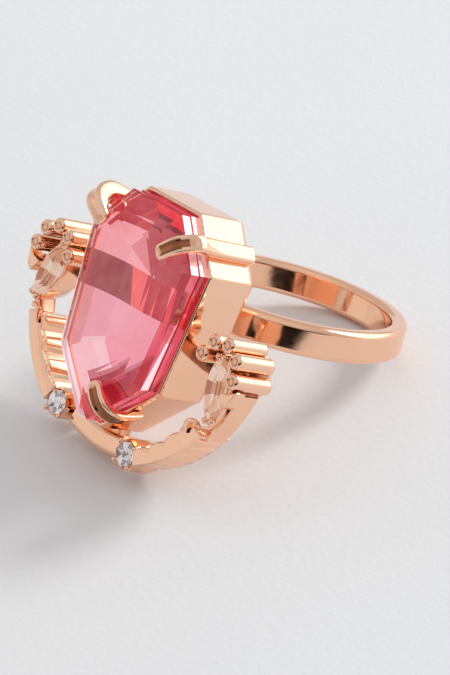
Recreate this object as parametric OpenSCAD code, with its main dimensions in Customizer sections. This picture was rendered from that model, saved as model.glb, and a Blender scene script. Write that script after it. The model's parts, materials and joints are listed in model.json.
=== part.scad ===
// Cocktail ring: a plain band carrying a deep eight-sided collet with one large
// step-cut stone, and a mirrored garland of rods, marquise and round stones below it.

/* [Finger hole and band] */
// Diameter of the finger hole
bore_d = 17.2; // [15:0.1:21]
// Wall of the band
band_t = 1.5; // [1.2:0.1:2]
// Width of the band along the finger
band_w = 2.7; // [2.2:0.1:3.4]
// Rounding of the band's edges
band_round = 0.5; // [0.3:0.05:0.6]

/* [Head placing] */
// Distance from the finger axis to the collet's rim
rim_d = 15.7; // [15.2:0.1:17]
// Angle by which the head leans up from the band's plane
head_lean = 5.6; // [3:0.2:7]
// Angle by which the ring tips back as it lies on a table
rest_tilt = 26.9; // [26:0.1:29]
// Angle by which it leans to its left there, as the turned garland lets it
rest_roll = 3.4; // [2.8:0.1:4]

/* [Large stone and collet] */
// Width of the outline's top edge
top_w = 6.6; // [5.6:0.1:7.4]
// Width of the outline at its shoulders
shoulder_w = 13.5; // [12.6:0.1:14.2]
// Width of the outline at its hips
hip_w = 11.3; // [10.6:0.1:12]
// Width of the outline's bottom edge
tip_w = 1.4; // [1:0.1:2]
// Height of the top edge above the centre line
top_b = 6.9; // [6.4:0.1:7.4]
// Height of the shoulders above the centre line
shoulder_b = 2.8; // [2.4:0.1:3.2]
// Depth of the hips below the centre line
hip_b = 7.6; // [7.2:0.1:8]
// Depth of the bottom edge below the centre line
tip_b = 12.2; // [11.8:0.1:12.6]
// Depth of the collet's wall
collet_d = 4.2; // [4:0.1:4.4]
// Thickness of the collet's wall
wall_t = 0.4; // [0.3:0.05:0.5]
// Height of the stone's steep band above the rim
band_h = 1.65; // [1.3:0.05:1.9]
// Height of the table above the rim
table_h = 2.7; // [2.5:0.05:3]

/* [Claws] */
// Width of the two upper claws
claw_w = 1.5; // [1.2:0.1:1.8]
// Width of the lower claw
low_claw_w = 1.6; // [1.2:0.1:1.8]
// Place of the lower claw along the outline's lower right edge, as a fraction
low_claw_s = 0.52; // [0.44:0.02:0.6]

/* [Garland] */
// Radius of the garland's rail
rail_r = 12.9; // [12.6:0.1:13.2]
// Angle by which the garland is turned on the head
garland_turn = -4; // [-5:0.5:0]
// Diameter of a rod
rod_d = 1.35; // [1.2:0.05:1.4]
// Length of a rod
rod_l = 4.0; // [3.8:0.1:4.2]
// Length of a marquise stone
marquise_l = 5.5; // [5.2:0.1:5.8]
// Width of a marquise stone
marquise_w = 2.3; // [2.1:0.1:2.5]
// Diameter of a small round stone
round_d = 2.1; // [1.8:0.1:2.2]

/* [Hidden] */
$fn = 48;
gold = "#E0A07C";
rose = "#D8566E";
champagne = "#EBC9A8";
clear_glass = "#E9EEF0";

bore_r = bore_d / 2;
back_t = 0.9;               // thickness of the plate that closes the collet
back_inset = 0.35;          // how far that plate stands in from the wall
stone_inset = 0.42;         // the stone's girdle inside the rim's outline
rail_b = -1.45;             // centre of the rail's arc on the face
link_t = 1.9;               // radial thickness of the link between the small cups
rail_back = -4.1;           // back face of the rail
rail_front = -1.0;          // front face of the rail

// Outline of the rim, clockwise from the upper left corner.
rim = [
    [-top_w / 2, top_b], [top_w / 2, top_b], [shoulder_w / 2, shoulder_b], [hip_w / 2, -hip_b],
    [tip_w / 2, -tip_b], [-tip_w / 2, -tip_b], [-hip_w / 2, -hip_b], [-shoulder_w / 2, shoulder_b]
];

function unit(v) = v / norm(v);

// An outline moved inwards by m on every side.
function inset(p, m) = [
    for (i = [0:len(p) - 1]) let (
        n = len(p), a = p[(i + n - 1) % n], b = p[i], c = p[(i + 1) % n],
        d1 = unit(b - a), d2 = unit(c - b), n1 = [d1.y, -d1.x], n2 = [d2.y, -d2.x]
    ) b + m * (n1 + n2) / (1 + n1 * n2)
];

// Places the finished ring as it lies on a table, on the band's back edge and the garland.
module at_rest() {
    translate([place_x, place_y, place_z]) rotate([0, -rest_roll, 0])
        rotate([-rest_tilt, 0, 0]) children();
}
// Face frame: X to the right, Y up along the stone, Z outwards from the rim.
module on_face() {
    at_rest() rotate([-head_lean, 0, 0]) translate([0, -rim_d, 0]) rotate([90, 0, 0]) children();
}
// Garland frame: the face frame, turned a little on the head.
module on_garland() {
    on_face() rotate([0, 0, garland_turn]) children();
}

// The band's rounded edge touches the table; the bounding box's middle is at the origin.
axis_up = cos(rest_tilt) * cos(rest_roll);
place_z = (bore_r + band_t - band_round) * sqrt(1 - axis_up * axis_up)
    + (band_w / 2 - band_round) * axis_up + band_round;
place_x = 0.5;
place_y = 6.01;

// A solid with flat trapezoid facets, from an outline scaled about the stone's middle.
// Each level is [scale, height], from the lowest to the highest.
module facet_stack(p, levels) {
    n = len(p);
    m = len(levels);
    points = [for (v = levels) for (q = p) [q.x * v[0], mid_b + (q.y - mid_b) * v[0], v[1]]];
    polyhedron(points, concat(
        [[for (i = [n - 1:-1:0]) i]],
        [for (k = [0:m - 2]) for (i = [0:n - 1]) let (j = (i + 1) % n)
            [k * n + i, k * n + j, (k + 1) * n + j, (k + 1) * n + i]],
        [[for (i = [0:n - 1]) (m - 1) * n + i]]
    ));
}

// ---- band ----
module shank() color(gold) at_rest() rotate_extrude($fn = 96)
    band_profile();
// Comfort section: flat inside, softly rounded edges.
module band_profile() {
    h = band_w / 2 - band_round;
    translate([bore_r, -band_w / 2 + 0.25]) square([band_t - band_round, band_w - 0.5]);
    translate([bore_r + 0.25, -band_w / 2]) square([band_t - band_round - 0.25, band_w]);
    translate([bore_r, -h]) square([band_t, 2 * h]);
    for (s = [-1, 1]) {
        translate([bore_r + band_t - band_round, s * h]) circle(band_round);
        translate([bore_r + 0.25, s * (band_w / 2 - 0.25)]) circle(0.25);
    }
}
// Block that joins the band to the back of the collet.
module head_saddle() color(gold) difference() {
    on_face() translate([-3.2, -1.3, -rim_d + bore_r + 0.6])
        cube([6.4, 2.4, rim_d - bore_r - 0.6 - collet_d - back_t]);
    at_rest() cylinder(r = bore_r + band_t, h = 12, center = true, $fn = 96);
}

// ---- collet ----
module collet_wall() color(gold) on_face() translate([0, 0, -collet_d])
    linear_extrude(collet_d) difference() {
        polygon(rim);
        polygon(inset(rim, wall_t));
    }
module collet_back_plate() color(gold) on_face() {
    translate([0, 0, -collet_d - back_t / 2]) linear_extrude(back_t / 2)
        polygon(inset(rim, back_inset / 3));
    translate([0, 0, -collet_d - back_t]) linear_extrude(back_t / 2)
        polygon(inset(rim, back_inset));
}
// Inner step on which the girdle sits.
module stone_ledge() color(gold) on_face() translate([0, 0, -1.5])
    linear_extrude(0.9) difference() {
        polygon(inset(rim, wall_t));
        polygon(inset(rim, wall_t + 0.45));
    }

// ---- large stone ----
mid_b = (shoulder_b - hip_b) / 2 - 0.1;
module main_stone() color(rose) on_face() facet_stack(inset(rim, stone_inset), [
    [0.36, -3.9], [0.78, -2.4], [1, -0.6], [1, 0.8], [0.96, band_h],
    [0.74, table_h - 0.2], [0.6, table_h]
]);
// Mirror backing on the floor of the collet.
module main_stone_foil() color("#9C1E34") on_face() translate([0, 0, -collet_d])
    linear_extrude(0.25) polygon(inset(rim, wall_t));

// ---- claws ----
// Side view of a claw: up the wall, over the rim and along the crown.
// X is outwards from the rim, Y outwards from the face; reach is how far it runs inwards,
// drop how far it runs down the wall.
module claw_profile(reach, crown, drop) {
    t = 1;
    bend = 1.7;
    rise = band_h + 0.55 - bend + t;
    translate([0, -drop]) square([t, drop + rise]);
    translate([t - bend, rise]) intersection() {
        difference() {
            circle(bend);
            circle(bend - t);
        }
        rotate(0) square(bend + 1);
    }
    translate([t - bend, rise + bend - t / 2]) rotate(180 - crown) {
        translate([0, -t / 2]) square([reach, t]);
        translate([reach, 0]) circle(t / 2);
    }
}
// Places a claw across the point at fraction s of edge i of the rim.
module claw(i, s, wide, reach, drop) {
    a = rim[i];
    b = rim[(i + 1) % 8];
    d = b - a;
    p = a + s * d;
    on_face() translate([p.x, p.y, 0]) rotate([0, 0, atan2(d.y, d.x) + 90])
        rotate([90, 0, 0]) translate([0, 0, -wide / 2]) linear_extrude(wide)
            claw_profile(reach, 16, drop);
}
module claw_upper_right() color(gold) claw(1, 0.56, claw_w, 1.3, collet_d);
module claw_upper_left() color(gold) claw(7, 0.44, claw_w, 1.3, collet_d);
module claw_lower() color(gold) claw(3, low_claw_s, low_claw_w, 1.3, 1);

// ---- garland ----
// Everything below is drawn for the right side in the garland frame.
// A radial point on the garland.
function polar(r, angle) = [r * cos(angle), rail_b + r * sin(angle)];

// Space inside the collet, which other pieces stop at.
module rim_space() on_face() translate([0, 0, -8]) linear_extrude(12) polygon(rim);

// Piece of the curved rail between two angles.
module rail(a0, a1, r0, r1, z0, z1) {
    translate([0, rail_b, z0]) rotate([0, 0, a0]) rotate_extrude(angle = a1 - a0, $fn = 96)
        translate([r0, 0]) square([r1 - r0, z1 - z0]);
}
module side_rail() difference() {
    rail(leaf_a1, -8.5, rail_r, rail_r + 0.75, -3, -0.7);
    translate([round_at.x, round_at.y, -6]) cylinder(r = cup_r, h = 8);
    at_marquise() translate([0, 0, -6]) linear_extrude(9) cup_outline();
}
module garland_link() color(gold) on_garland()
    rail(-105, -75, rail_r - link_t, rail_r, rail_back + 0.6, rail_front - 0.1);
// Block that ties the garland to the foot of the collet.
module bottom_bridge() color(gold) difference() {
    on_face() translate([-1.2, -tip_b - 1.6, -3.4]) cube([2, 4, 1.4]);
    rim_space();
    on_garland() translate([0, rail_b, -8]) difference() {
        cylinder(r = 30, h = 16);
        translate([0, 0, -1]) cylinder(r = rail_r - link_t, h = 18, $fn = 96);
    }
}

// Five parallel rods fanned round the head of the marquise.
rod_c = [11.1, -2.4];
rod_fan = 2.1;
function rod_at(k) = rod_c + rod_fan * [cos(-4 + 43.5 * k), sin(-4 + 43.5 * k)];
module rods() for (k = [0:4]) translate([rod_at(k).x, rod_at(k).y, 0.45 - rod_l]) {
    cylinder(d1 = rod_d - 0.3, d2 = rod_d, h = 0.15);
    translate([0, 0, 0.15]) cylinder(d = rod_d, h = rod_l - 0.3);
    translate([0, 0, rod_l - 0.15]) cylinder(d1 = rod_d, d2 = rod_d - 0.3, h = 0.15);
}

// Marquise outline: where two equal circles cross.
marquise_at = [11.2, -4.05];
marquise_lean = 15;
module at_marquise() translate([marquise_at.x, marquise_at.y, 0]) rotate([0, 0, marquise_lean])
    children();
module marquise_outline(long, wide) {
    r = (long * long + wide * wide) / (4 * wide);
    intersection() {
        translate([r - wide / 2, 0]) circle(r, $fn = 96);
        translate([wide / 2 - r, 0]) circle(r, $fn = 96);
    }
}
module cup_outline() marquise_outline(marquise_l + 0.7, marquise_w + 0.5);
module marquise_stone() at_marquise() difference() {
    translate([0, 0, -1.6]) linear_extrude(1.9) marquise_outline(marquise_l, marquise_w);
    for (s = [0:1]) mirror([s, 0, 0]) for (t = [-1, 1]) {
        translate([marquise_w / 2, 0, -0.45]) rotate([0, 0, t * 24]) rotate([0, 38, 0])
            translate([-4, -8, 0]) cube([8, 16, 4]);
        translate([marquise_w / 2, 0, -0.75]) rotate([0, 0, t * 24]) rotate([0, -45, 0])
            translate([-4, -8, -4]) cube([8, 16, 4]);
    }
}
// Boat-shaped cup with a seat cut out for the stone.
module marquise_cup() difference() {
    at_marquise() translate([0, 0, -3.3]) linear_extrude(2.7) cup_outline();
    at_marquise() translate([0, 0, -1.6]) linear_extrude(3)
        marquise_outline(marquise_l, marquise_w);
    for (k = [0:4]) translate([rod_at(k).x, rod_at(k).y, -5]) cylinder(d = rod_d, h = 10);
}

// Flat V on the rail's front that grips the outer lower side of the marquise.
module v_outline()
    polygon([[12.2, -3.85], [13.1, -3.65], [13.9, -3.1], [13.5, -4.5], [12.9, -4.95]]);
module v_claw() difference() {
    translate([0, 0, -0.7]) linear_extrude(0.55) v_outline();
    at_marquise() translate([0, 0, -3.3]) linear_extrude(2.7) cup_outline();
    at_marquise() translate([0, 0, -2]) linear_extrude(4)
        marquise_outline(marquise_l, marquise_w);
}

// Bar from the collet that ends in a disc under the cup, with the rods let into it.
module strut() difference() {
    union() {
        translate([5, -4.3, -3.8]) cube([5.5, 1.3, 0.9]);
        translate([rod_c.x, rod_c.y, -3.8]) cylinder(r = rod_fan, h = 0.5);
    }
    for (k = [0:4]) translate([rod_at(k).x, rod_at(k).y, -5]) cylinder(d = rod_d, h = 10);
    at_marquise() translate([0, 0, -3.3]) linear_extrude(2.7) cup_outline();
}

// Deep leaf that carries on the rail: scalloped inner edge, notched outer edge.
leaf_a0 = -62;
leaf_a1 = -29;
leaf_lobes = 4;
leaf_depth = 3.6;
function leaf_inner(t) =
    rail_r - 0.8 - 0.35 * t - 0.22 * abs(sin(180 * leaf_lobes * t));
function leaf_outer(t) = rail_r + 0.35 + 0.15 * abs(sin(180 * (leaf_lobes + 1) * t));
module leaf() difference() {
    translate([0, 0, -0.25 - leaf_depth]) linear_extrude(leaf_depth) polygon([
        for (t = [0:1 / 36:1.001]) polar(leaf_inner(t), leaf_a0 + (leaf_a1 - leaf_a0) * t),
        for (t = [1:-1 / 32:-0.001]) polar(leaf_outer(t), leaf_a0 + (leaf_a1 - leaf_a0) * t)
    ]);
    translate([round_at.x, round_at.y, -6]) cylinder(r = cup_r, h = 8);
    at_marquise() translate([0, 0, -6]) linear_extrude(9) cup_outline();
}

// Small round stone in a beaded cup at the foot of each side.
round_at = polar(12.35, -67.5);
cup_r = round_d / 2 + 0.25;
module at_round() translate([round_at.x, round_at.y, -0.5]) children();
module round_stone() at_round() {
    translate([0, 0, -0.85]) cylinder(r1 = 0.1, r2 = round_d / 2, h = 0.8);
    translate([0, 0, -0.05]) cylinder(r = round_d / 2, h = 0.1);
    translate([0, 0, 0.05]) cylinder(r1 = round_d / 2, r2 = round_d * 0.28, h = 0.3);
}
module round_cup() at_round() {
    difference() {
        translate([0, 0, -3.4]) cylinder(r = cup_r, h = 3.35);
        translate([0, 0, -0.9]) cylinder(r = round_d / 2 + 0.02, h = 2);
    }
    for (k = [0:3]) rotate([0, 0, 45 + 90 * k]) translate([round_d / 2 + 0.25, 0, -0.05])
        sphere(0.24, $fn = 24);
}

module right() on_garland() children();
module left() on_garland() mirror([1, 0, 0]) children();

module garland_rail_right() color(gold) right() side_rail();
module garland_rail_left() color(gold) left() side_rail();
module rod_cluster_right() color(gold) right() rods();
module rod_cluster_left() color(gold) left() rods();
module marquise_cup_right() color(gold) right() marquise_cup();
module marquise_cup_left() color(gold) left() marquise_cup();
module marquise_stone_right() color(champagne) right() marquise_stone();
module marquise_stone_left() color(champagne) left() marquise_stone();
module v_claw_right() color(gold) right() v_claw();
module v_claw_left() color(gold) left() v_claw();
module side_strut_right() color(gold) difference() { right() strut(); rim_space(); }
module side_strut_left() color(gold) difference() { left() strut(); rim_space(); }
module leaf_right() color(gold) right() leaf();
module leaf_left() color(gold) left() leaf();
module round_cup_right() color(gold) right() round_cup();
module round_cup_left() color(gold) left() round_cup();
module round_stone_right() color(clear_glass) right() round_stone();
module round_stone_left() color(clear_glass) left() round_stone();

shank();
head_saddle();
collet_wall();
collet_back_plate();
stone_ledge();
main_stone();
main_stone_foil();
claw_upper_left();
claw_upper_right();
claw_lower();
bottom_bridge();
garland_link();
side_strut_right();
side_strut_left();
garland_rail_right();
garland_rail_left();
rod_cluster_right();
rod_cluster_left();
marquise_cup_right();
marquise_cup_left();
marquise_stone_right();
marquise_stone_left();
v_claw_right();
v_claw_left();
leaf_right();
leaf_left();
round_cup_right();
round_cup_left();
round_stone_right();
round_stone_left();
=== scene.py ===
"""Cocktail ring: the looks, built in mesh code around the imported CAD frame.

Every piece is drawn in millimetres in one of three local frames and placed in the row frame:
  REST     the finger hole's own frame: Z is the finger axis and -Y points to the head
  FACE     the stone's frame: X right, Y up along the stone, Z outwards from the collet's rim
  GARLAND  the face frame turned a little, as the garland is on the head
"""

import json
import math

import bmesh
import bpy
from mathutils import Matrix, Vector


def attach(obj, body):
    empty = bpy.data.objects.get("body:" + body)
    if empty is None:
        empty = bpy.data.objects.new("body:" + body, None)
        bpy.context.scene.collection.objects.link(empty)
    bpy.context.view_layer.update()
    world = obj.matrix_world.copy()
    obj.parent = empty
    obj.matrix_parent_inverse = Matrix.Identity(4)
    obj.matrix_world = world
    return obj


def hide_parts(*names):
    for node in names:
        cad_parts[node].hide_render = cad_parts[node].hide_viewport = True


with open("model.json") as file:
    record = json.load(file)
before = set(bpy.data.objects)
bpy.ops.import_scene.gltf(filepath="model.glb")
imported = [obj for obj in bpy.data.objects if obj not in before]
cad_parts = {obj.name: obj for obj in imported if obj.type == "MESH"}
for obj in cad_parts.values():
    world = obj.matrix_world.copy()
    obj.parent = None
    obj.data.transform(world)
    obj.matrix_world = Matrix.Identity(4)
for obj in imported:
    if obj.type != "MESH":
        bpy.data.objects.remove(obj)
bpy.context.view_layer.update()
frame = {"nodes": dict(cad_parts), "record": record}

# ---------------------------------------------------------------- dimensions, millimetres
MM = 0.001
mount = frame["record"]["mounts"][0]
BORE_R = mount["dims"]["r_mm"]
BAND_T, BAND_W = 1.5, 2.7
RIM_D = 15.7                      # finger axis to the collet's rim
LEAN = math.radians(5.6)          # the head leans up from the band's plane
TURN = math.radians(-4.0)         # the garland is turned on the head

COLLET_D, BACK_T, WALL_T = 4.2, 0.9, 0.4
RIM = [Vector(p) for p in (
    (-3.3, 6.9), (3.3, 6.9), (6.75, 2.8), (5.65, -7.6),
    (0.7, -12.2), (-0.7, -12.2), (-5.65, -7.6), (-6.75, 2.8))]

RAIL_B, RAIL_R = -1.45, 12.9      # centre and radius of the garland's curve
ROD_C, ROD_FAN, ROD_D, ROD_L = Vector((11.1, -2.4)), 2.1, 1.35, 4.0
MARQUISE_AT, MARQUISE_LEAN = Vector((11.2, -4.05)), math.radians(15)
MARQUISE_L, MARQUISE_W = 5.5, 2.3
ROUND_D, ROUND_R, ROUND_ANGLE = 2.1, 12.35, -67.5

# ---------------------------------------------------------------- frames
hole = Vector(mount["pos_m"])
axis = Vector(mount["axis"]).normalized()
TILT = math.asin(axis.y)
ROLL = math.atan2(-axis.x, axis.z)
REST = (Matrix.Translation(hole) @ Matrix.Rotation(-ROLL, 4, "Y")
        @ Matrix.Rotation(-TILT, 4, "X") @ Matrix.Scale(MM, 4))
FACE = (REST @ Matrix.Rotation(-LEAN, 4, "X") @ Matrix.Translation((0, -RIM_D, 0))
        @ Matrix.Rotation(math.radians(90), 4, "X"))
GARLAND = FACE @ Matrix.Rotation(TURN, 4, "Z")
MIRROR = Matrix.Scale(-1, 4, (1, 0, 0))
SIDES = (("right", GARLAND), ("left", GARLAND @ MIRROR))


# ---------------------------------------------------------------- outlines
def lerp(a, b, t):
    return a + (b - a) * t


def smooth(t):
    t = min(1.0, max(0.0, t))
    return t * t * (3 - 2 * t)


def polar(r, degrees):
    """A point of the garland's curve."""
    a = math.radians(degrees)
    return Vector((r * math.cos(a), RAIL_B + r * math.sin(a)))


def inset(outline, m):
    """A clockwise outline moved inwards by m; a short edge that vanishes becomes one point."""
    n = len(outline)
    lines = []
    for i, a in enumerate(outline):
        d = (outline[(i + 1) % n] - a).normalized()
        lines.append((a + Vector((d.y, -d.x)) * m, d))

    def crossing(p, q):
        (a, d), (b, e) = p, q
        w = b - a
        return a + d * ((w.x * e.y - w.y * e.x) / (d.x * e.y - d.y * e.x))

    points = [crossing(lines[i - 1], lines[i]) for i in range(n)]
    for i in range(n):
        j = (i + 1) % n
        if (points[j] - points[i]).dot(lines[i][1]) < 0.02:
            points[i] = points[j] = crossing(lines[i - 1], lines[j])
    return points


def rounded(outline, radius, steps=5):
    """An outline with each corner turned into an arc."""
    points = []
    n = len(outline)
    for i, b in enumerate(outline):
        u = (outline[i - 1] - b)
        w = (outline[(i + 1) % n] - b)
        room = 0.45 * min(u.length, w.length)
        u.normalize()
        w.normalize()
        half = math.acos(max(-1.0, min(1.0, u.dot(w)))) / 2
        reach = min(radius / math.tan(half), room)
        r = reach * math.tan(half)
        centre = b + (u + w).normalized() * (r / math.sin(half))
        start, end = b + u * reach - centre, b + w * reach - centre
        sweep = math.atan2(start.x * end.y - start.y * end.x, start.dot(end))
        for s in range(steps + 1):
            a = sweep * s / steps
            points.append(centre + Vector((start.x * math.cos(a) - start.y * math.sin(a),
                                           start.x * math.sin(a) + start.y * math.cos(a))))
    return points


def marquise(long, wide, steps=16):
    """Two arcs that meet in points, clockwise from the top."""
    r = (long * long + wide * wide) / (4 * wide)
    half = math.asin(long / (2 * r))
    right = [Vector((wide / 2 - r + r * math.cos(a), r * math.sin(a)))
             for a in (lerp(half, -half, s / steps) for s in range(steps))]
    return right + [-p for p in right]


def at_height(outline, h):
    return [Vector((p.x, p.y, h)) for p in outline]


# ---------------------------------------------------------------- mesh building
def skin(bm, rings, caps=True, close=False):
    """Faces over rings of points that all have the same count."""
    loops = [[bm.verts.new(p) for p in ring] for ring in rings]
    n = len(loops[0])
    pairs = list(zip(loops, loops[1:])) + ([(loops[-1], loops[0])] if close else [])
    for a, b in pairs:
        for i in range(n):
            j = (i + 1) % n
            bm.faces.new((a[i], a[j], b[j], b[i]))
    if caps and not close:
        bm.faces.new(loops[0])
        bm.faces.new(loops[-1])


def lathe(bm, profile, steps=48, centre=Vector((0, 0, 0)), closed=False):
    """Turns a profile of (radius, height) about Z. Ends at radius 0 become points."""
    rings = [[centre + Vector((r * math.cos(a), r * math.sin(a), z))
              for a in (2 * math.pi * s / steps for s in range(steps))] for r, z in profile]
    skin(bm, rings, caps=not closed, close=closed)
    bmesh.ops.remove_doubles(bm, verts=bm.verts, dist=1e-5)


SECTION_STEPS = 28


def section(half_w, half_t, power=3.4, groove=0.0):
    """A rounded bar's section as (across, out); groove hollows its outer side."""
    points = []
    for s in range(SECTION_STEPS):
        a = 2 * math.pi * s / SECTION_STEPS
        c, d = math.cos(a), math.sin(a)
        u = half_w * math.copysign(abs(c) ** (2 / power), c)
        v = half_t * math.copysign(abs(d) ** (2 / power), d)
        if d > 0:
            v -= groove * math.exp(-(u / (0.55 * half_w)) ** 2)
        points.append((u, v))
    return points


def bend_through(points, steps=8):
    """Smooth line through given points."""
    out = []
    for i in range(len(points) - 1):
        p0, p1, p2 = points[max(i - 1, 0)], points[i], points[i + 1]
        p3 = points[min(i + 2, len(points) - 1)]
        for s in range(steps):
            t = s / steps
            out.append(0.5 * ((2 * p1) + (p2 - p0) * t + (2 * p0 - 5 * p1 + 4 * p2 - p3) * t * t
                              + (3 * p1 - p0 - 3 * p2 + p3) * t ** 3))
    out.append(points[-1].copy())
    return out


def sweep_bar(bm, path, across, half_w, half_t, groove=lambda t: 0.0, round_end=0.45):
    """A bar along a path; half_w and half_t are functions of the fraction along it."""
    count = len(path)
    rings = []
    across = across.normalized()
    lengths = [0.0]
    for a, b in zip(path, path[1:]):
        lengths.append(lengths[-1] + (b - a).length)
    total = lengths[-1]
    for i, p in enumerate(path):
        t = lengths[i] / total
        ahead = (path[min(i + 1, count - 1)] - path[max(i - 1, 0)]).normalized()
        out = across.cross(ahead).normalized()
        left = total - lengths[i]
        cap = math.sqrt(max(0.0, 1 - (1 - min(1.0, left / round_end)) ** 2))
        cap = max(cap, 0.12)
        rings.append([p + across * u * lerp(0.25, 1, cap) + out * v * lerp(0.3, 1, cap)
                      for u, v in section(half_w(t), half_t(t), groove=groove(t) * cap)])
    skin(bm, rings)


def prism(bm, outline, low, high, bevel=0.12):
    """An outline raised from low to high, with its edges softened."""
    skin(bm, [at_height(outline, low), at_height(outline, high)])
    bmesh.ops.recalc_face_normals(bm, faces=bm.faces)
    sharp = [e for e in bm.edges if e.calc_face_angle(0) > math.radians(25)]
    bmesh.ops.bevel(bm, geom=sharp, offset=bevel, segments=3, profile=0.5,
                    affect="EDGES", clamp_overlap=True)


def piece(name, bm, place, material, nodes, crease=38.0):
    """Makes the piece from a mesh in local millimetres and ties it to the frame.

    Edges sharper than `crease` degrees stay sharp; with 0 the piece is flat-shaded all over.
    """
    bmesh.ops.remove_doubles(bm, verts=bm.verts, dist=1e-5)
    bmesh.ops.dissolve_degenerate(bm, edges=bm.edges, dist=1e-5)
    bmesh.ops.recalc_face_normals(bm, faces=bm.faces)
    mesh = bpy.data.meshes.new(name)
    bm.to_mesh(mesh)
    bm.free()
    mesh.transform(place)
    if place.to_3x3().determinant() < 0:
        mesh.flip_normals()
    for m in material if isinstance(material, (list, tuple)) else [material]:
        mesh.materials.append(m)
    mesh.polygons.foreach_set("use_smooth", [crease > 0] * len(mesh.polygons))
    if crease > 0:
        mesh.set_sharp_from_angle(angle=math.radians(crease))
    obj = bpy.data.objects.new(name, mesh)
    bpy.context.scene.collection.objects.link(obj)
    if crease > 0:
        even = obj.modifiers.new("even_shading", "WEIGHTED_NORMAL")
        even.keep_sharp = True
        even.weight = 60
    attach(obj, "root")
    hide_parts(*nodes)
    return obj


# ---------------------------------------------------------------- materials
def srgb(r, g, b, a=1.0):
    """Colour written as 0-255 values, as linear light."""
    def lin(c):
        c /= 255
        return c / 12.92 if c <= 0.04045 else ((c + 0.055) / 1.055) ** 2.4
    return (lin(r), lin(g), lin(b), a)


class Nodes:
    """Short helpers to lay out a node tree."""

    def __init__(self, tree):
        self.tree = tree
        tree.nodes.clear()

    def add(self, kind, inputs=None, **settings):
        node = self.tree.nodes.new(kind)
        for key, value in settings.items():
            setattr(node, key, value)
        for key, value in (inputs or {}).items():
            socket = node.inputs[key]
            if isinstance(value, bpy.types.NodeSocket):
                self.tree.links.new(value, socket)
            else:
                socket.default_value = value
        return node

    def noise(self, vector, scale, detail=4.0, roughness=0.55):
        return self.add("ShaderNodeTexNoise", {
            "Vector": vector, "Scale": scale, "Detail": detail, "Roughness": roughness,
        }).outputs["Fac"]

    def ramp(self, value, low, high, to_low, to_high):
        """value from low..high, mapped to to_low..to_high."""
        return self.add("ShaderNodeMapRange", {
            "Value": value, "From Min": low, "From Max": high,
            "To Min": to_low, "To Max": to_high,
        }, clamp=True).outputs["Result"]

    def blend(self, factor, a, b):
        """Colour mixed from a to b."""
        node = self.add("ShaderNodeMix", data_type="RGBA")
        for index, value in ((0, factor), (6, a), (7, b)):
            if isinstance(value, bpy.types.NodeSocket):
                self.tree.links.new(value, node.inputs[index])
            else:
                node.inputs[index].default_value = value
        return node.outputs[2]


def new_material(name):
    material = bpy.data.materials.new(name)
    material.use_nodes = True
    return material, Nodes(material.node_tree)


def polished_gold(name, base, deep, roughness, hollow_shade_colour=srgb(196, 122, 84), dark=0.7):
    """Cast and plated rose gold: faint ripples, fine scratches, paler sharp edges, and painted shade
    in its hollows.
    """
    material, n = new_material(name)
    place = n.add("ShaderNodeTexCoord").outputs["Object"]
    geometry = n.add("ShaderNodeNewGeometry")
    cloud = n.noise(place, 260.0, 3.0)
    fine = n.noise(place, 4200.0, 2.0)
    stretched = n.add("ShaderNodeMapping", {"Vector": place, "Scale": (1.0, 5.0, 9.0),
                                            "Rotation": (0.5, 0.3, 0.9)}).outputs["Vector"]
    scratch = n.noise(stretched, 1700.0, 2.0, 0.7)
    edge = n.ramp(geometry.outputs["Pointiness"], 0.5, 0.56, 0.0, 1.0)
    # Painted shade: hollows and creases, where pointiness is low, are darkened towards a shade colour,
    # by up to the amount dark.
    hollow_shade_mask = n.ramp(geometry.outputs["Pointiness"], 0.495, 0.45, 0.0, 1.0)
    colour = n.blend(n.ramp(cloud, 0.35, 0.7, 0.0, 0.35), base, deep)
    colour = n.blend(n.ramp(hollow_shade_mask, 0.0, 1.0, 0.0, dark), colour, hollow_shade_colour)
    colour = n.blend(n.ramp(edge, 0.0, 1.0, 0.0, 0.3), colour, srgb(250, 214, 190))
    rough = n.ramp(n.noise(place, 900.0, 4.0), 0.3, 0.75, roughness * 0.6, roughness * 1.5)
    bump = n.add("ShaderNodeBump", {"Height": cloud, "Strength": 0.06, "Distance": 0.0002})
    bump = n.add("ShaderNodeBump", {"Height": scratch, "Strength": 0.03, "Distance": 0.00004,
                                    "Normal": bump.outputs["Normal"]})
    bump = n.add("ShaderNodeBump", {"Height": fine, "Strength": 0.02, "Distance": 0.00002,
                                    "Normal": bump.outputs["Normal"]})
    shader = n.add("ShaderNodeBsdfPrincipled", {
        "Base Color": colour, "Metallic": 1.0, "Roughness": rough,
        "Normal": bump.outputs["Normal"]})
    n.add("ShaderNodeOutputMaterial", {"Surface": shader.outputs["BSDF"]})
    return material


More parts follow.
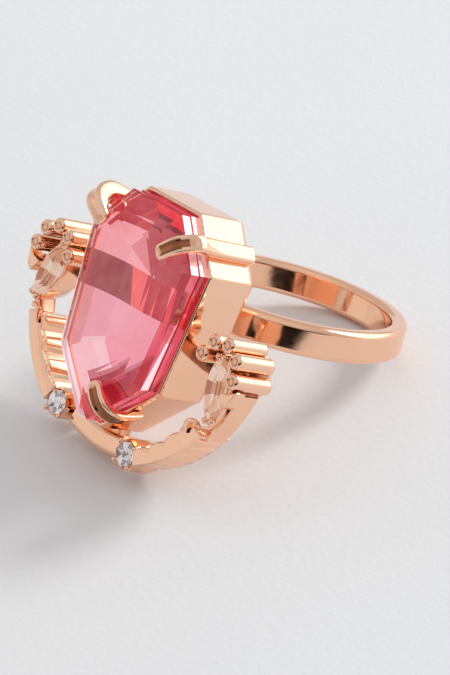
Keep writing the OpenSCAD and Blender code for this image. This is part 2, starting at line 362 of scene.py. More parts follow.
def crystal(name, tint, ior, gloss, glow=0.0):
    """Clear coloured glass that lets light reach the coloured facets behind it; glow adds a painted
    glow of its own.
    """
    material, n = new_material(name)
    place = n.add("ShaderNodeTexCoord").outputs["Object"]
    wave = n.noise(place, 420.0, 2.0)
    speck = n.noise(place, 2600.0, 3.0)
    bump = n.add("ShaderNodeBump", {"Height": wave, "Strength": 0.02, "Distance": 0.00008})
    rough = n.ramp(speck, 0.45, 0.8, 0.0, 0.05)
    colour = n.blend(n.ramp(wave, 0.3, 0.7, 0.0, 0.2), tint, (1, 1, 1, 1))
    glass = n.add("ShaderNodeBsdfRefraction", {
        "Color": colour, "Roughness": rough, "IOR": ior, "Normal": bump.outputs["Normal"]})
    mirror = n.add("ShaderNodeBsdfGlossy", {
        "Color": (1, 0.97, 0.98, 1), "Roughness": rough, "Normal": bump.outputs["Normal"]})
    facing = n.add("ShaderNodeFresnel", {"IOR": gloss, "Normal": bump.outputs["Normal"]})
    solid = n.add("ShaderNodeMixShader", {
        0: facing.outputs["Fac"], 1: glass.outputs["BSDF"], 2: mirror.outputs["BSDF"]})
    through = n.add("ShaderNodeBsdfTransparent", {"Color": tint})
    shadow = n.add("ShaderNodeLightPath").outputs["Is Shadow Ray"]
    mixed = n.add("ShaderNodeMixShader", {
        0: shadow, 1: solid.outputs["Shader"], 2: through.outputs["BSDF"]})
    # Painted light: an emission that makes the glass glow, though it is no lamp.
    painted_glow = n.add("ShaderNodeEmission", {"Color": (1, 0.9, 0.95, 1), "Strength": glow})
    total = n.add("ShaderNodeAddShader", {
        0: mixed.outputs["Shader"], 1: painted_glow.outputs["Emission"]})
    n.add("ShaderNodeOutputMaterial", {"Surface": total.outputs["Shader"]})
    return material


def facet_back(name, pale, rich, roughness=0.22, glow=0.0):
    """Foiled back facets; each facet's painted colour, its reflections and shade, is stored on the
    mesh as 'facet'.
    """
    material, n = new_material(name)
    place = n.add("ShaderNodeTexCoord").outputs["Object"]
    own = n.add("ShaderNodeAttribute", attribute_name="facet",
                attribute_type="GEOMETRY").outputs["Color"]
    cloud = n.noise(place, 520.0, 4.0)
    streak = n.noise(n.add("ShaderNodeMapping", {"Vector": place, "Scale": (6.0, 1.0, 1.0)})
                     .outputs["Vector"], 700.0, 3.0)
    colour = n.blend(n.ramp(cloud, 0.35, 0.75, 0.0, 0.14), own, pale)
    colour = n.blend(n.ramp(streak, 0.5, 0.8, 0.0, 0.14), colour, rich)
    bump = n.add("ShaderNodeBump", {"Height": cloud, "Strength": 0.05, "Distance": 0.0002})
    # The base colour is darkened, and the same colour is given back as emission: painted light that
    # glows though it is no lamp.
    shader = n.add("ShaderNodeBsdfPrincipled", {
        "Base Color": n.blend(0.45, colour, (0, 0, 0, 1)), "Metallic": 0.2,
        "Roughness": roughness,
        "Emission Color": colour, "Emission Strength": glow,
        "Normal": bump.outputs["Normal"]})
    n.add("ShaderNodeOutputMaterial", {"Surface": shader.outputs["BSDF"]})
    return material


GOLD = polished_gold("rose_gold_polished", srgb(255, 206, 174), srgb(252, 188, 150), 0.07)
GOLD_BAND = polished_gold("rose_gold_band", srgb(255, 202, 168), srgb(250, 182, 142), 0.1)
# Gold for the leaf: near-brown painted shade fills its veins and hollows.
GOLD_VEIN_SHADE = polished_gold("rose_gold_painted_vein_shade", srgb(255, 206, 174), srgb(252, 188, 150), 0.07,
                            srgb(96, 48, 26), 0.92)
# Painted shade: a darker copy of the gold for the floor of the claws' grooves.
GOLD_GROOVE_SHADE = polished_gold("rose_gold_painted_groove_shade", srgb(150, 96, 64), srgb(110, 66, 42), 0.12)
GOLD_SOFT = polished_gold("rose_gold_satin", srgb(255, 200, 164), srgb(248, 178, 138), 0.3)
ROSE_GLASS = crystal("rose_crystal_glass", srgb(255, 244, 248), 1.45, 1.5)
# The large stone's glass again, in copies that paint shade, a highlight and a violet reflection onto
# chosen facets; the last two also glow.
ROSE_PAINTED_SHADE = crystal("rose_crystal_painted_shade_facets", srgb(240, 120, 146), 1.45, 1.8)
ROSE_PAINTED_HIGHLIGHT = crystal("rose_crystal_painted_highlight_facets", srgb(255, 200, 214), 1.45, 9.0, 0.22)
ROSE_PAINTED_VIOLET = crystal("rose_crystal_painted_violet_reflection", srgb(206, 130, 224), 1.45, 2.6, 0.26)
# Back facets of the stones: painted reflections that glow as painted light, by the last argument.
ROSE_BACK = facet_back("rose_crystal_back", srgb(250, 214, 224), srgb(204, 60, 96), 0.25, 0.8)
CHAMPAGNE_GLASS = crystal("champagne_crystal_glass", srgb(255, 240, 228), 1.5, 1.7)
CHAMPAGNE_BACK = facet_back("champagne_crystal_back", srgb(252, 232, 214), srgb(205, 140, 105),
                            0.15, 0.5)
CLEAR_GLASS = crystal("clear_crystal_glass", srgb(250, 250, 252), 1.5, 1.8)
CLEAR_BACK = facet_back("clear_crystal_back", srgb(240, 240, 242), srgb(150, 120, 105), 0.1, 0.5)
FOIL = facet_back("foil_hidden", srgb(200, 90, 110), srgb(150, 30, 55), 0.15)


# ---------------------------------------------------------------- band
def make_shank():
    """Flat-sided band with soft outer edges and an eased inner face."""
    bm = bmesh.new()
    half = BAND_W / 2
    outline = rounded([Vector(p) for p in (
        (BORE_R, -half), (BORE_R, half), (BORE_R + BAND_T, half), (BORE_R + BAND_T, -half))],
        0.5, 8)
    profile = []
    for p in outline:
        fall = 0.13 * (p.y / half) ** 2 if p.x > BORE_R + BAND_T / 2 else 0.0
        profile.append((p.x - fall, p.y))
    lathe(bm, profile, steps=192, closed=True)
    piece("band", bm, REST, GOLD_BAND, ["shank"])


def make_saddle():
    """Waisted block between the band and the collet's back."""
    bm = bmesh.new()
    low, high = -RIM_D + BORE_R + 0.6, -COLLET_D - BACK_T + 0.05
    rings = []
    for s in range(9):
        t = s / 8
        waist = 1 - 0.14 * math.sin(math.pi * t)
        outline = rounded([Vector(p) * waist for p in (
            (-3.2, 1.1), (3.2, 1.1), (3.2, -1.3), (-3.2, -1.3))], 0.4, 4)
        rings.append(at_height(outline, lerp(low, high, t)))
    skin(bm, rings)
    # The saddle's foot follows the finger hole.
    for v in bm.verts:
        z_floor = -RIM_D + math.sqrt(max(0.0, (BORE_R + 0.35) ** 2 - v.co.x ** 2))
        v.co.z = max(v.co.z, z_floor)
    piece("head_block", bm, FACE, GOLD_SOFT, ["head_saddle"])


# ---------------------------------------------------------------- collet
def make_collet():
    """Eight-sided wall with a soft thin lip, and the stepped plate behind it."""
    bm = bmesh.new()
    levels = [  # (inwards from the rim's outline, height)
        (0.02, -COLLET_D), (0.0, -COLLET_D + 0.3), (0.0, -2.4), (0.0, -1.2), (0.0, -0.26),
        (0.02, -0.15), (0.07, -0.06), (0.14, -0.01), (0.2, 0.0), (0.28, 0.0), (0.34, -0.03),
        (0.37, -0.12), (WALL_T, -0.5), (WALL_T, -2.2), (WALL_T, -COLLET_D)]
    skin(bm, [at_height(rounded(inset(RIM, m), 0.42 - 0.5 * m, 4), h) for m, h in levels],
         close=True)
    piece("collet", bm, FACE, GOLD, ["collet_wall"], crease=50)

    bm = bmesh.new()
    levels = [(0.02, -COLLET_D), (0.03, -COLLET_D - 0.22), (0.1, -COLLET_D - 0.46),
              (0.22, -COLLET_D - 0.66), (0.4, -COLLET_D - 0.81), (0.62, -COLLET_D - BACK_T)]
    skin(bm, [at_height(rounded(inset(RIM, m), 0.42, 4), h) for m, h in levels])
    piece("collet_back", bm, FACE, GOLD, ["collet_back_plate"], crease=50)


# ---------------------------------------------------------------- large stone
# Colours of the back facets: the stone's own pink with painted reflections and painted shade.
PALE, PALE_LOW, BLUSH = srgb(228, 164, 176), srgb(236, 200, 206), srgb(214, 150, 150)
PINK, ROSE, MAUVE = srgb(228, 150, 164), srgb(172, 54, 60), srgb(214, 128, 132)
MAUVE_LIGHT, MAUVE_LOW, DUSK = srgb(234, 164, 168), srgb(190, 112, 122), srgb(148, 60, 60)
CORAL, SALMON, SCARLET = srgb(230, 100, 92), srgb(232, 124, 124), srgb(224, 34, 40)
CRIMSON, CRIMSON_LOW, MAROON = srgb(180, 32, 44), srgb(160, 30, 52), srgb(122, 22, 34)
RUBY, CORAL_DARK = srgb(176, 22, 34), srgb(186, 52, 48)
# Tones of the back's three steps beside each edge of the outline; None takes the cut tones and
# a pair changes at the height in SPLITS.
STEPS = {
    0: (RUBY, SCARLET, (MAROON, SCARLET)), 1: (MAROON, CRIMSON, MAROON),
    2: (CRIMSON, SALMON, PINK), 3: (MAROON, CRIMSON_LOW, CRIMSON),
    4: (MAROON, CRIMSON_LOW, CRIMSON_LOW), 5: (PALE_LOW, None, None), 6: (None, None, None),
    7: (CRIMSON, (MAUVE_LIGHT, RUBY), (MAUVE_LIGHT, CORAL_DARK))}
SPLITS = {0: 4.08, 7: 3.1}
# Lines across the back where the tones change: a point is beyond a line (x, y, distance) where
# its product with (x, y) is more than the distance.
CUTS = {
    "upper": (0, 1, 0.45), "middle": (0, 1, -2.45), "lower": (0, 1, -5.0),
    "mauve": (0.351, 0.936, 0.48), "dusk": (0.918, 0.397, -1.96), "crimson": (1, 0.1, -0.3),
    "salmon": (1, 0.1, 1.0), "rose": (1, 0.1, 1.6), "pale": (-0.417, 0.909, -4.04),
    "corner": (0.696, -0.718, 4.9), "top_rose": (0.795, 0.606, 0.26),
    "foot": (-0.666, 0.746, -4.77)}
# Material slots of the large stone; the second, third and fifth are its glass with painted shade, a
# painted highlight and a painted violet reflection.
CLEAR, SHADE_FACETS, HIGHLIGHT_FACETS, BACK, VIOLET_REFLECTION_FACETS = range(5)


def back_tone(a, b):
    """Painted reflection colour of a cut piece of the back round its middle; None is the blend from
    pale to pink.
    """
    def beyond(name):
        x, y, distance = CUTS[name]
        return x * a + y * b > distance

    slant = a + 0.1 * b
    if slant < -5.1 and not beyond("middle"):
        return BLUSH
    if beyond("corner"):
        return CRIMSON_LOW if b < -7.4 else CRIMSON
    if beyond("upper"):
        if beyond("top_rose"):
            return ROSE
        return MAUVE if beyond("mauve") else MAUVE_LIGHT
    if beyond("salmon"):
        return ROSE if beyond("rose") else SALMON
    if beyond("middle"):
        if beyond("crimson"):
            return CRIMSON
        return CORAL if beyond("dusk") else DUSK
    if not beyond("foot"):
        return MAUVE_LOW
    if not beyond("lower") and not beyond("pale"):
        return PALE_LOW if slant < -1.6 else PINK
    return None


def make_main_stone():
    """Step-cut stone: steep band, stepped crown, table, and a stepped back in many tones of painted
    reflection and shade.
    """
    bm = bmesh.new()
    layer = bm.loops.layers.float_color.new("facet")
    step_of = bm.faces.layers.int.new("step")

    def ring(m, h):
        return [bm.verts.new(p) for p in at_height(inset(RIM, m), h)]

    def band(a, b, slot):
        made = []
        for i in range(8):
            j = (i + 1) % 8
            face = bm.faces.new((a[i], a[j], b[j], b[i]))
            face.material_index = slot
            made.append(face)
        return made

    # Crown: a steep stepped band in the glass with painted shade, then bevels up to the table.
    crown = [ring(0.44, -0.6), ring(0.42, 0.66), ring(0.52, 0.74), ring(0.44, 1.62),
             ring(0.6, 1.7), ring(1.1, 1.98), ring(2.04, 2.5), ring(3.16, 2.67)]
    bands = [band(a, b, SHADE_FACETS if level < 4 else CLEAR)
             for level, (a, b) in enumerate(zip(crown, crown[1:]))]
    bm.faces.new(crown[-1])
    # Chosen crown facets take the glass copies with a painted highlight, painted shade or a painted
    # violet reflection.
    for level, edge, slot in (
            (0, 1, HIGHLIGHT_FACETS), (2, 1, HIGHLIGHT_FACETS), (1, 1, CLEAR), (3, 6, HIGHLIGHT_FACETS), (3, 5, HIGHLIGHT_FACETS),
            (4, 5, VIOLET_REFLECTION_FACETS), (5, 5, HIGHLIGHT_FACETS), (4, 2, SHADE_FACETS), (4, 3, SHADE_FACETS), (5, 3, SHADE_FACETS),
            (2, 4, VIOLET_REFLECTION_FACETS), (3, 4, HIGHLIGHT_FACETS), (4, 4, VIOLET_REFLECTION_FACETS), (2, 5, VIOLET_REFLECTION_FACETS)):
        bands[level][edge].material_index = slot

    def wedge(face, start, end, at, slot):
        """Splits a facet from a point along its edge start-end to its far corner."""
        edge = next(e for e in face.edges if start in e.verts and end in e.verts)
        _, middle = bmesh.utils.edge_split(edge, start, at)
        far = next(v for v in face.verts if v is not end and v is not middle
                   and any(end in e.verts for e in v.link_edges if e in face.edges))
        new, _ = bmesh.utils.face_split(face, middle, far)
        for part in (face, new):
            if end in part.verts:
                part.material_index = slot

    # Two facets are split, so that part of each gets a painted highlight or a painted violet
    # reflection.
    wedge(bands[2][2], crown[2][2], crown[2][3], 0.36, HIGHLIGHT_FACETS)
    wedge(bands[5][5], crown[5][5], crown[5][6], 0.7, VIOLET_REFLECTION_FACETS)

    # Back: three steps round a floor.
    back = [crown[0], ring(1.3, -1.7), ring(2.3, -2.45), ring(3.3, -2.9)]
    for k in range(3):
        for i, face in enumerate(band(back[k], back[k + 1], BACK)):
            face[step_of] = 8 * k + i + 1 if STEPS[i][k] else 0
    bm.faces.new(back[-1]).material_index = BACK

    def cut_by(face, beside):
        """Whether a line cuts this facet: one beside that edge, or one with no tone of its own."""
        if face.material_index != BACK:
            return False
        if beside is None:
            return not face[step_of]
        return bool(face[step_of]) and (face[step_of] - 1) % 8 == beside

    lines = [(0, 1, level, i) for i, level in SPLITS.items()]
    lines += [(*cut, None) for cut in CUTS.values()]
    for x, y, d, beside in lines:
        geom = [f for f in bm.faces if cut_by(f, beside)]
        # Dictionaries keep the order of the edges and corners, so that each run is the same.
        edges = dict.fromkeys(e for f in geom for e in f.edges)
        verts = dict.fromkeys(v for f in geom for v in f.verts)
        size = x * x + y * y
        bmesh.ops.bisect_plane(bm, geom=geom + list(edges) + list(verts), dist=1e-4,
                               plane_co=(x * d / size, y * d / size, 0), plane_no=(x, y, 0))
    for face in bm.faces:
        if face.material_index != BACK:
            continue
        middle = face.calc_center_median()
        k, i = divmod(face[step_of] - 1, 8)
        tone = STEPS[i][k] if face[step_of] else back_tone(middle.x, middle.y)
        if tone and len(tone) == 2:
            tone = tone[middle.y > SPLITS[i]]
        # Each corner takes its facet's painted reflection colour; the pale-to-pink blend runs from
        # left to right.
        for loop in face.loops:
            right = smooth((loop.vert.co.x + 2.5) / 3.2)
            loop[layer] = tone or [lerp(p, q, right) for p, q in zip(PALE, PINK)]
    piece("rose_stone", bm, FACE, [ROSE_GLASS, ROSE_PAINTED_SHADE, ROSE_PAINTED_HIGHLIGHT, ROSE_BACK, ROSE_PAINTED_VIOLET],
          ["main_stone"], crease=0)


# ---------------------------------------------------------------- claws
def make_claw(name, edge, along, half_w, node, lift=0.0, drop=COLLET_D + 0.4, dark=True):
    """A strap that climbs the collet's wall, turns over the rim and lies on the crown."""
    bm = bmesh.new()
    start, end = RIM[edge], RIM[(edge + 1) % 8]
    side = (end - start).normalized()
    outward = Vector((-side.y, side.x, 0))
    foot = start.lerp(end, along).to_3d()
    way = [(0.3, -drop), (0.34, -0.75 * drop), (0.4, -0.3 * drop), (0.5 + lift / 2, 0.5),
           (0.56 + lift, 1.4), (0.34 + lift, 2.2 + lift / 2), (-0.2 + lift / 2, 2.8 + lift),
           (-1.0, 3.06 + 0.7 * lift), (-2.3, 3.16)]
    path = bend_through([foot + outward * x + Vector((0, 0, z)) for x, z in way], 7)
    groove_from = 0.6 if drop > 2 else 0.4
    sweep_bar(bm, path, Vector((0, 0, 1)).cross(outward),
              lambda t: half_w * (1 - 0.08 * smooth((t - 0.8) / 0.2)),
              lambda t: (0.38 + (0.12 + 1.4 * lift) * smooth((t - 0.35) / 0.25)
                         - (0.14 + 1.4 * lift) * smooth((t - 0.72) / 0.25)),
              groove=lambda t: 0.3 * smooth((t - groove_from) / 0.08))
    # The groove's floor gets a darker gold as painted shade; the dark strip narrows where it starts
    # and ends short of the tip.
    for number, face in enumerate(bm.faces):
        ring, around = divmod(number, SECTION_STEPS)
        along_it = ring / len(path)
        middle = 6 <= around <= 7 and along_it > groove_from
        floor = 5 <= around <= 8 and along_it > groove_from + 0.09
        if dark and (middle or floor) and ring < len(path) - 4:
            face.material_index = 1
    piece(name, bm, FACE, [GOLD, GOLD_GROOVE_SHADE], [node], crease=60)


def make_claws():
    """Two straps over the upper corners and a short one on the lower right edge."""
    make_claw("claw_right", 1, 0.56, 0.75, "claw_upper_right")
    make_claw("claw_left", 7, 0.46, 0.85, "claw_upper_left", lift=0.24, dark=False)
    make_claw("claw_foot", 3, 0.52, 0.72, "claw_lower", drop=0.9)


# ---------------------------------------------------------------- garland
def arc_bar(radius, start, end, steps, h, half_w, half_t, power):
    """A round-edged bar along the garland's curve, from one angle to another."""
    bm = bmesh.new()
    rings = []
    for s in range(steps + 1):
        p = Vector((*polar(radius, lerp(start, end, s / steps)), h))
        radial = Vector((p.x, p.y - RAIL_B, 0)).normalized()
        rings.append([p + radial * u + Vector((0, 0, v))
                      for u, v in section(half_w, half_t, power)])
    skin(bm, rings)
    return bm


def make_link():
    """Bar between the two small cups, and the block that ties it to the collet."""
    bm = arc_bar(RAIL_R - 0.95, -105, -75, 15, -2.3, 0.95, 1.2, 4.6)
    piece("garland_middle", bm, GARLAND, GOLD, ["garland_link"])

    bm = bmesh.new()
    prism(bm, [Vector(p) for p in ((-1.2, -11.2), (0.8, -11.2), (0.8, -12.9), (-1.2, -12.9))],
          -3.4, -2.0, 0.25)
    piece("garland_bridge", bm, FACE, GOLD, ["bottom_bridge"])


def make_rail(side, place):
    """Curved bar from the leaf's tip up to the rods."""
    bm = arc_bar(RAIL_R + 0.38, -29.3, -8.6, 40, -2.05, 0.37, 0.95, 5.0)
    piece(f"garland_rail_{side}_bar", bm, place, GOLD, [f"garland_rail_{side}"])


def rod_at(k):
    """Middle of a rod in the fan round the marquise's head."""
    a = math.radians(-4 + 43.5 * k)
    return ROD_C + ROD_FAN * Vector((math.cos(a), math.sin(a)))


def make_rods(side, place):
    """Five turned rods with chamfered, slightly dished ends."""
    bm = bmesh.new()
    r = ROD_D / 2
    for k in range(5):
        at = rod_at(k)
        top = 0.45
        foot = top - ROD_L
        profile = [(0, foot), (r - 0.2, foot), (r - 0.05, foot + 0.08), (r, foot + 0.25),
                   (r, top - 0.34), (r - 0.03, top - 0.2), (r - 0.12, top - 0.05),
                   (r - 0.2, top), (r - 0.27, top - 0.02), (r - 0.31, top - 0.08),
                   (0.1, top - 0.12), (0, top - 0.12)]
        one = bmesh.new()
        lathe(one, profile, steps=28, centre=Vector((at.x, at.y, 0)))
        mesh = bpy.data.meshes.new("rod")
        one.to_mesh(mesh)
        one.free()
        bm.from_mesh(mesh)
        bpy.data.meshes.remove(mesh)
    piece(f"rods_{side}", bm, place, GOLD, [f"rod_cluster_{side}"], crease=50)


def turned(points, angle, at):
    """Points turned about the origin and moved to a place."""
    c, s = math.cos(angle), math.sin(angle)
    return [Vector((at.x + p.x * c - p.y * s, at.y + p.x * s + p.y * c)) for p in points]


def make_marquise(side, place):
    """Boat-shaped cup with a thin lip, and the faceted stone in it."""
    def ring(grow, h):
        points = marquise(MARQUISE_L + 2 * grow, MARQUISE_W + 1.55 * grow)
        return at_height(turned(points, MARQUISE_LEAN, MARQUISE_AT), h)

    bm = bmesh.new()
    rings = [ring(-0.55, -3.3), ring(-0.3, -3.25), ring(0.0, -2.95), ring(0.2, -2.3),
             ring(0.3, -1.4), ring(0.33, -0.75), ring(0.3, -0.62), ring(0.2, -0.58),
             ring(0.06, -0.62), ring(0.02, -0.75), ring(0.0, -1.3), ring(-0.4, -1.9)]
    skin(bm, rings)
    # A pair of small beads grips each pointed end.
    for end in (-1, 1):
        for x in (-0.34, 0.34):
            bead = turned([Vector((x, end * (MARQUISE_L / 2 - 0.22)))], MARQUISE_LEAN,
                          MARQUISE_AT)[0]
            place_bead = Matrix.Translation((bead.x, bead.y, -0.42))
            bmesh.ops.create_icosphere(bm, subdivisions=3, radius=0.3, matrix=place_bead)
    piece(f"marquise_cup_{side}_boat", bm, place, GOLD, [f"marquise_cup_{side}"],
          crease=50)

    bm = bmesh.new()
    layer = bm.loops.layers.float_color.new("facet")
    steps = 5

    def facets(grow, h):
        points = marquise(MARQUISE_L + 2 * grow, MARQUISE_W + 1.55 * grow, steps)
        return [bm.verts.new(p) for p in at_height(turned(points, MARQUISE_LEAN, MARQUISE_AT), h)]

    levels = [facets(-0.02, -0.95), facets(-0.02, -0.55), facets(-0.42, -0.05),
              facets(-0.72, 0.12)]
    back = [facets(-0.5, -1.45), facets(-1.0, -1.6)]
    n = 2 * steps
    for a, b in zip(levels, levels[1:]):
        for i in range(n):
            bm.faces.new((a[i], a[(i + 1) % n], b[(i + 1) % n], b[i]))
    bm.faces.new(levels[-1])
    # Painted reflections: the back facets take light and dark tones in turn.
    tones = [srgb(255, 246, 238), srgb(228, 176, 148), srgb(250, 218, 198), srgb(186, 120, 92)]
    for a, b, shift in ((levels[0], back[0], 0), (back[0], back[1], 2)):
        for i in range(n):
            face = bm.faces.new((a[i], a[(i + 1) % n], b[(i + 1) % n], b[i]))
            face.material_index = 1
            for loop in face.loops:
                loop[layer] = tones[(i + shift) % 4]
    face = bm.faces.new(back[1])
    face.material_index = 1
    for loop in face.loops:
        loop[layer] = tones[0]
    piece(f"marquise_{side}", bm, place, [CHAMPAGNE_GLASS, CHAMPAGNE_BACK],
          [f"marquise_stone_{side}"], crease=0)


def make_v_claw(side, place):
    """Flat V on the rail's front, beside the marquise's outer lower side."""
    bm = bmesh.new()
    outline = [Vector(p) for p in ((12.2, -3.85), (13.1, -3.65), (13.9, -3.1), (13.5, -4.5),
                                   (12.9, -4.95))]
    prism(bm, outline, -1.1, 0.1, 0.12)
    piece(f"v_claw_{side}_wedge", bm, place, GOLD, [f"v_claw_{side}"])


def make_strut(side, place):
    """Bar from the collet that ends in a disc under the rods."""
    bm = bmesh.new()
    prism(bm, [Vector(p) for p in ((5.6, -3.0), (9.8, -3.0), (9.8, -4.3), (5.6, -4.3))],
          -3.8, -2.9, 0.22)
    lathe(bm, [(0, -3.8), (1.9, -3.8), (2.05, -3.72), (2.1, -3.55), (2.05, -3.38), (1.9, -3.3),
               (0, -3.3)], 64, ROD_C.to_3d())
    piece(f"strut_{side}", bm, place, GOLD_SOFT, [f"side_strut_{side}"])


def make_leaf(side, place):
    """Deep leaf: flat face, scalloped inner edge, V-shaped veins that run down its wall."""
    bm = bmesh.new()
    start, end, lobes, veins = -62.5, -28.8, 4, 7
    top, depth = -0.25, 3.5
    rings = []
    steps = 140
    for s in range(steps + 1):
        t = s / steps
        angle = lerp(start, end, t)
        lobe = abs(math.sin(lobes * math.pi * t))
        # The face narrows to a rounded tip at its upper end.
        tip = math.sqrt(max(0.0, 1 - max(0.0, (t - 0.93) / 0.07) ** 2))
        vein = 0.3 * max(0.0, 1 - abs((t * veins) % 1 - 0.5) / 0.2) * smooth(t * 8)
        outer = RAIL_R + 0.42
        inner = lerp(outer - 0.5, RAIL_R - 0.8 - 0.35 * t - 0.22 * lobe, tip)
        profile = [(inner + 0.3, top - depth + 0.1), (inner + 0.2, top - 0.8),
                   (inner + 0.1, top - 0.34), (inner, top - 0.16), (inner + 0.02, top - 0.05),
                   (inner + 0.1, top), (inner + 0.2, top - 0.02), (lerp(inner, outer, 0.5), top - 0.1),
                   (outer - 0.16, top - 0.06), (outer - 0.1, top - 0.07), (outer - 0.03, top - 0.12),
                   (outer, top - 0.22)]
        for q in range(1, 6):
            profile.append((outer - 0.06 * q / 5 - vein,
                            lerp(top - 0.22, top - depth + 0.2, (q / 5) ** 1.6)))
        profile += [(outer - 0.2 - vein, top - depth + 0.04), (outer - 0.4 - vein, top - depth)]
        rings.append([Vector((*polar(r, angle), h)) for r, h in profile])
    skin(bm, rings)
    # A curled hook at the tip, beside the marquise.
    curl = [Vector((*polar(RAIL_R + r, a), h)) for r, a, h in (
        (-0.75, -34.0, -0.3), (-1.05, -31.0, -0.12), (-1.0, -28.4, -0.02), (-0.55, -26.9, -0.1),
        (-0.15, -27.8, -0.3))]
    sweep_bar(bm, bend_through(curl, 8), Vector((0, 0, 1)), lambda t: 0.3 - 0.06 * t,
              lambda t: 0.24 - 0.08 * t, round_end=0.3)
    # The leaf's gold paints shade into its veins.
    piece(f"leaf_{side}_blade", bm, place, GOLD_VEIN_SHADE, [f"leaf_{side}"], crease=42)


def make_round(side, place):
    """Beaded cup with a small brilliant."""
    at2 = polar(ROUND_R, ROUND_ANGLE)
    at = Vector((at2.x, at2.y, -0.5))
    r = ROUND_D / 2
    cup = r + 0.25
    bm = bmesh.new()
    lathe(bm, [(0, -3.35), (cup * 0.5, -3.32), (cup * 0.88, -3.0), (cup + 0.06, -2.3), (cup, -1.1),
               (cup - 0.04, -0.3), (cup - 0.14, -0.1), (r + 0.1, -0.04), (r + 0.02, -0.12),
               (r - 0.05, -0.4), (r * 0.6, -0.8), (0, -0.95)], 56, at)
    for k in range(4):
        a = math.radians(45 + 90 * k)
        bead = at + Vector(((r + 0.18) * math.cos(a), (r + 0.18) * math.sin(a), 0.02))
        bmesh.ops.create_icosphere(bm, subdivisions=3, radius=0.25,
                                   matrix=Matrix.Translation(bead) @ Matrix.Diagonal((1, 1, 0.9, 1)))
    piece(f"round_cup_{side}_beaded", bm, place, GOLD, [f"round_cup_{side}"],
          crease=50)

    bm = bmesh.new()
    layer = bm.loops.layers.float_color.new("facet")
    sides = 8

    def ring(radius, h, turn):
        return [bm.verts.new(at + Vector((radius * math.cos(a), radius * math.sin(a), h)))
                for a in (2 * math.pi * (i + turn) / sides for i in range(sides))]

    girdle, under = ring(r, -0.02, 0), ring(r, -0.1, 0)
    crown, table = ring(r * 0.78, 0.16, 0.5), ring(r * 0.52, 0.26, 0)
    deep = ring(r * 0.45, -0.5, 0.5)
    tip = bm.verts.new(at + Vector((0, 0, -0.8)))

    def kite(a, b, slot, tones):
        for i in range(sides):
            j = (i + 1) % sides
            for k, corners in enumerate(((a[i], a[j], b[i]), (b[i], a[j], b[j]))):
                face = bm.faces.new(corners)
                face.material_index = slot
                for loop in face.loops:
                    loop[layer] = tones[(2 * i + k) % len(tones)]

    # Painted reflections: the clear stone's facets take white and dark grey tones in turn.
    tones = [srgb(250, 250, 252), srgb(150, 130, 128), srgb(226, 214, 208), srgb(90, 70, 68),
             srgb(240, 228, 220)]
    kite(girdle, crown, 0, tones)
    kite(crown, table, 0, tones)
    bm.faces.new(table)
    for i in range(sides):
        j = (i + 1) % sides
        bm.faces.new((under[i], under[j], girdle[j], girdle[i]))
    kite(under, deep, 1, tones)
    for i in range(sides):
        face = bm.faces.new((deep[i], deep[(i + 1) % sides], tip))
        face.material_index = 1
        for loop in face.loops:
            loop[layer] = tones[(i * 2) % 5]
    piece(f"brilliant_{side}", bm, place, [CLEAR_GLASS, CLEAR_BACK], [f"round_stone_{side}"],
          crease=0)


make_shank()
make_saddle()
make_collet()
make_main_stone()
make_claws()
make_link()
for side, place in SIDES:
    make_rail(side, place)
    make_rods(side, place)
    make_marquise(side, place)
    make_v_claw(side, place)
    make_strut(side, place)
    make_leaf(side, place)
    make_round(side, place)

# CAD nodes that stay as they are: the seat and the backing inside the collet.
for name, material in (("stone_ledge", GOLD), ("main_stone_foil", FOIL)):
    mesh = frame["nodes"][name].data
    mesh.materials.clear()
    mesh.materials.append(material)


# ---------------------------------------------------------------- studio
def make_floor():
    """A wide flat surface of pale paper."""
    bm = bmesh.new()
    size = 3.0
    corners = [bm.verts.new((x * size, y * size, 0)) for x, y in
               ((-1, -1), (1, -1), (1, 1), (-1, 1))]
    bm.faces.new(corners)
    mesh = bpy.data.meshes.new("floor")
    bm.to_mesh(mesh)
    bm.free()
    floor = bpy.data.objects.new("floor", mesh)
    bpy.context.scene.collection.objects.link(floor)
    material, n = new_material("pale_paper")
    place = n.add("ShaderNodeTexCoord").outputs["Object"]
    grain = n.noise(place, 1400.0, 3.0)
    cloud = n.noise(place, 14.0, 2.0)
    colour = n.blend(n.ramp(cloud, 0.3, 0.7, 0.0, 1.0), (0.805, 0.815, 0.83, 1),
                     (0.845, 0.85, 0.86, 1))
    bump = n.add("ShaderNodeBump", {"Height": grain, "Strength": 0.35, "Distance": 0.0001})
    shader = n.add("ShaderNodeBsdfPrincipled", {
        "Base Color": colour, "Roughness": 0.75, "Specular IOR Level": 0.25,
        "Normal": bump.outputs["Normal"]})
    n.add("ShaderNodeOutputMaterial", {"Surface": shader.outputs["BSDF"]})
    mesh.materials.append(material)


def direction(azimuth, elevation):
    """Unit vector towards a place in the studio; azimuth 0 is the -Y side, 90 the +X side."""
    a, e = math.radians(azimuth), math.radians(elevation)
    return Vector((math.sin(a) * math.cos(e), -math.cos(a) * math.cos(e), math.sin(e)))


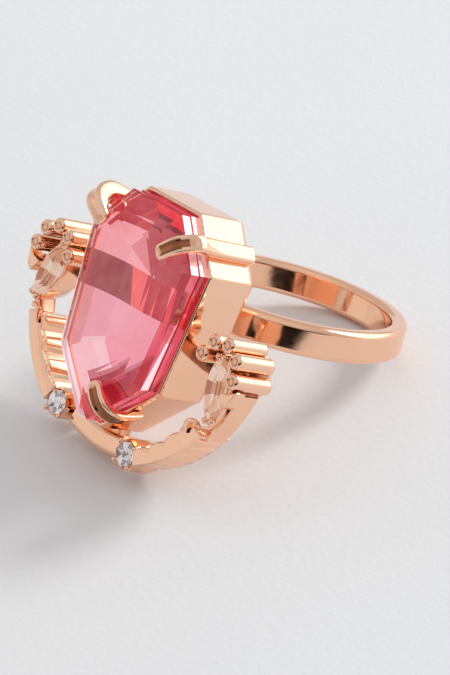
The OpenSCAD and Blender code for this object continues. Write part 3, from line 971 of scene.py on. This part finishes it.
def make_world():
    """Pale studio all round, brighter behind and above, with a dark strip low near the camera."""
    world = bpy.data.worlds.new("studio")
    bpy.context.scene.world = world
    world.use_nodes = True
    n = Nodes(world.node_tree)
    way = n.add("ShaderNodeTexCoord").outputs["Generated"]

    def zone(azimuth, elevation, full, edge):
        """1 within `full` degrees of a direction, falling to 0 at `edge` degrees."""
        dot = n.add("ShaderNodeVectorMath", {0: way, 1: direction(azimuth, elevation)},
                    operation="DOT_PRODUCT").outputs["Value"]
        return n.ramp(dot, math.cos(math.radians(edge)), math.cos(math.radians(full)), 0.0, 1.0)

    shade = (0.02, 0.016, 0.014, 1)
    colour = (0.86, 0.87, 0.89, 1)
    for azimuth, elevation, full, edge, tone in (
            (165, 12, 14, 34, (3.0, 3.0, 3.0, 1)), (60, 80, 10, 45, (1.1, 1.09, 1.07, 1)),
            (-46, 8, 14, 34, (1.15, 1.14, 1.12, 1)), (36, 8, 19, 27, shade),
            (62, 9, 13, 18, shade), (83, 9, 11, 15, shade)):
        colour = n.blend(zone(azimuth, elevation, full, edge), colour, tone)
    background = n.add("ShaderNodeBackground", {"Color": colour, "Strength": 0.7})
    n.add("ShaderNodeOutputWorld", {"Surface": background.outputs["Background"]})


def make_light(name, azimuth, elevation, distance, size, power):
    """Round soft lamp that faces the origin."""
    data = bpy.data.lights.new(name, "AREA")
    data.shape = "DISK"
    data.size = size
    data.energy = power
    light = bpy.data.objects.new(name, data)
    light.location = direction(azimuth, elevation) * distance
    light.rotation_mode = "QUATERNION"
    light.rotation_quaternion = direction(azimuth, elevation).to_track_quat("Z", "Y")
    bpy.context.scene.collection.objects.link(light)


# The camera looks at a point beside the hole's middle, given here in millimetres.
AIM = Vector((1.354, -7.324, 1.065))
VIEW_AZIMUTH, VIEW_ELEVATION, VIEW_ROLL = 53.56, 34.58, math.radians(-4.41)
VIEW_DISTANCE, LENS, SENSOR = 329.4, 219.7, 36.0


def make_camera():
    """Long lens above the ring's right front."""
    data = bpy.data.cameras.new("camera")
    camera = bpy.data.objects.new("camera", data)
    bpy.context.scene.collection.objects.link(camera)
    bpy.context.scene.camera = camera
    back = direction(VIEW_AZIMUTH, VIEW_ELEVATION)
    level = Vector((-back.y, back.x, 0)).normalized()
    rise = back.cross(level)
    right = level * math.cos(VIEW_ROLL) + rise * math.sin(VIEW_ROLL)
    up = rise * math.cos(VIEW_ROLL) - level * math.sin(VIEW_ROLL)
    turn = Matrix((right, up, back)).transposed().to_4x4()
    aim = hole + AIM * MM
    camera.matrix_world = Matrix.Translation(aim + back * VIEW_DISTANCE * MM) @ turn
    data.sensor_width = SENSOR
    data.lens = LENS
    data.clip_start, data.clip_end = 0.01, 20.0


make_floor()
make_world()
make_light("key", azimuth=162, elevation=32, distance=0.6, size=0.2, power=1.7)
make_camera()
scene = bpy.context.scene
scene.view_settings.view_transform = "Standard"
